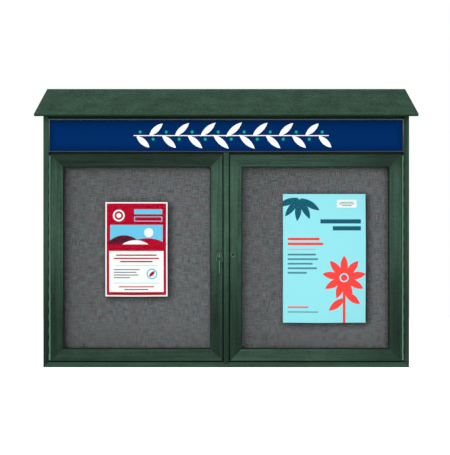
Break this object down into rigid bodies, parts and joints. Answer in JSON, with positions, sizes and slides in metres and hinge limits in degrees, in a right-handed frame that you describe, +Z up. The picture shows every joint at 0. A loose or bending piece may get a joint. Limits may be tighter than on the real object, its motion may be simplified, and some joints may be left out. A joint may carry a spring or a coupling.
{
  "type": "lockable notice board",
  "caption": "Wall-hung outdoor notice board: a case under a sloped slab roof, a blank header sign, and glazed doors on piano hinges that swing out and lock with cams over fabric tackboards.",
  "frame": {"origin": "centre of the rectangle of four wall holes, in the plane of the wall", "axes": "+X along the case to the right as seen from the front, +Y into the wall, +Z up"},
  "size_m": [1.352, 0.1582, 1.0281],
  "materials": {
    "green_lumber": "mottled recycled-plastic lumber, planed with a fine grain",
    "blue_panel": "smooth",
    "bronze_aluminium": "bronze anodised",
    "clear_pane": "clear, polished",
    "black_rubber": "matt",
    "hinge_steel": "satin",
    "lock_nickel": "satin nickel",
    "key_nickel": "stamped, nickel plated",
    "ring_steel": "bright",
    "zinc_steel": "zinc plated",
    "screw_steel": "stainless",
    "fibre_board": "pressed fibre",
    "grey_fabric": "plain weave",
    "black_pad": "hook and loop",
    "crimson_paper": "printed",
    "cyan_paper": "printed"
  },
  "bodies": {
    "case": {"left_side_board": "green_lumber", "right_side_board": "green_lumber", "bottom_board": "green_lumber", "back_panel": "green_lumber", "header_divider": "green_lumber", "header_board": "green_lumber", "sign_frame": "bronze_aluminium", "sign_panel": "blue_panel", "roof_slab": "green_lumber", "roof_cleats": "green_lumber", "mullion": "green_lumber", "mullion_stop": "green_lumber", "door_stops": "green_lumber", "door_seals": "black_rubber", "strike_plate": "zinc_steel", "hinge_jamb_leaves": "hinge_steel", "hinge_pins": "hinge_steel", "case_screws": "screw_steel", "small_case_screws": "screw_steel", "left_tackboard": "fibre_board", "left_tack_fabric": "grey_fabric", "right_tackboard": "fibre_board", "right_tack_fabric": "grey_fabric", "tackboard_pads": "black_pad", "left_poster": "crimson_paper", "right_poster": "cyan_paper", "poster_staples": "screw_steel"},
    "left_door": {"left_hinge_stile": "green_lumber", "left_lock_stile": "green_lumber", "left_top_rail": "green_lumber", "left_bottom_rail": "green_lumber", "left_pane": "clear_pane", "left_gasket": "black_rubber", "left_glazing_beads": "green_lumber", "left_corner_braces": "zinc_steel", "left_door_screws": "screw_steel", "left_hinge_leaf": "hinge_steel", "left_lock_body": "lock_nickel", "left_lock_nut": "zinc_steel"},
    "left_plug": {"left_lock_plug": "lock_nickel", "left_lock_cam": "zinc_steel", "left_cam_nut": "zinc_steel"},
    "right_door": {"right_hinge_stile": "green_lumber", "right_lock_stile": "green_lumber", "right_top_rail": "green_lumber", "right_bottom_rail": "green_lumber", "right_pane": "clear_pane", "right_gasket": "black_rubber", "right_glazing_beads": "green_lumber", "right_corner_braces": "zinc_steel", "right_door_screws": "screw_steel", "right_hinge_leaf": "hinge_steel", "right_lock_body": "lock_nickel", "right_lock_nut": "zinc_steel"},
    "right_plug": {"right_lock_plug": "lock_nickel", "right_lock_cam": "zinc_steel", "right_cam_nut": "zinc_steel"},
    "lock_key": {"key": "key_nickel"},
    "split_ring": {"key_ring": "ring_steel"},
    "hanging_key": {"spare_key": "key_nickel"}
  },
  "joints": [
    {"name": "left_door_hinge", "type": "hinge", "parent": "case", "child": "left_door", "pos_m": [-0.63667, -0.0984, 0], "axis": [0, 0, -1], "range_deg": [0, 110]},
    {"name": "right_door_hinge", "type": "hinge", "parent": "case", "child": "right_door", "pos_m": [0.63667, -0.0984, 0], "axis": [0, 0, 1], "range_deg": [0, 110]},
    {"name": "left_lock_turn", "type": "hinge", "parent": "left_door", "child": "left_plug", "pos_m": [-0.0245, -0.0986, 0.0067], "axis": [0, 1, 0], "range_deg": [0, 90]},
    {"name": "right_lock_turn", "type": "hinge", "parent": "right_door", "child": "right_plug", "pos_m": [0.0245, -0.0986, 0.0067], "axis": [0, -1, 0], "range_deg": [0, 90]},
    {"name": "key_slide", "type": "slide", "parent": "left_plug", "child": "lock_key", "axis": [0, -1, 0], "range_m": [0, 0.026]},
    {"name": "ring_swing", "type": "hinge", "parent": "lock_key", "child": "split_ring", "pos_m": [-0.0245, -0.119, 0.0049], "axis": [-1, 0, 0], "range_deg": [-5, 75]},
    {"name": "hanging_key_swing", "type": "hinge", "parent": "split_ring", "child": "hanging_key", "pos_m": [-0.0245, -0.119, -0.0167], "axis": [-1, 0, 0], "range_deg": [-8, 60]}
  ]
}
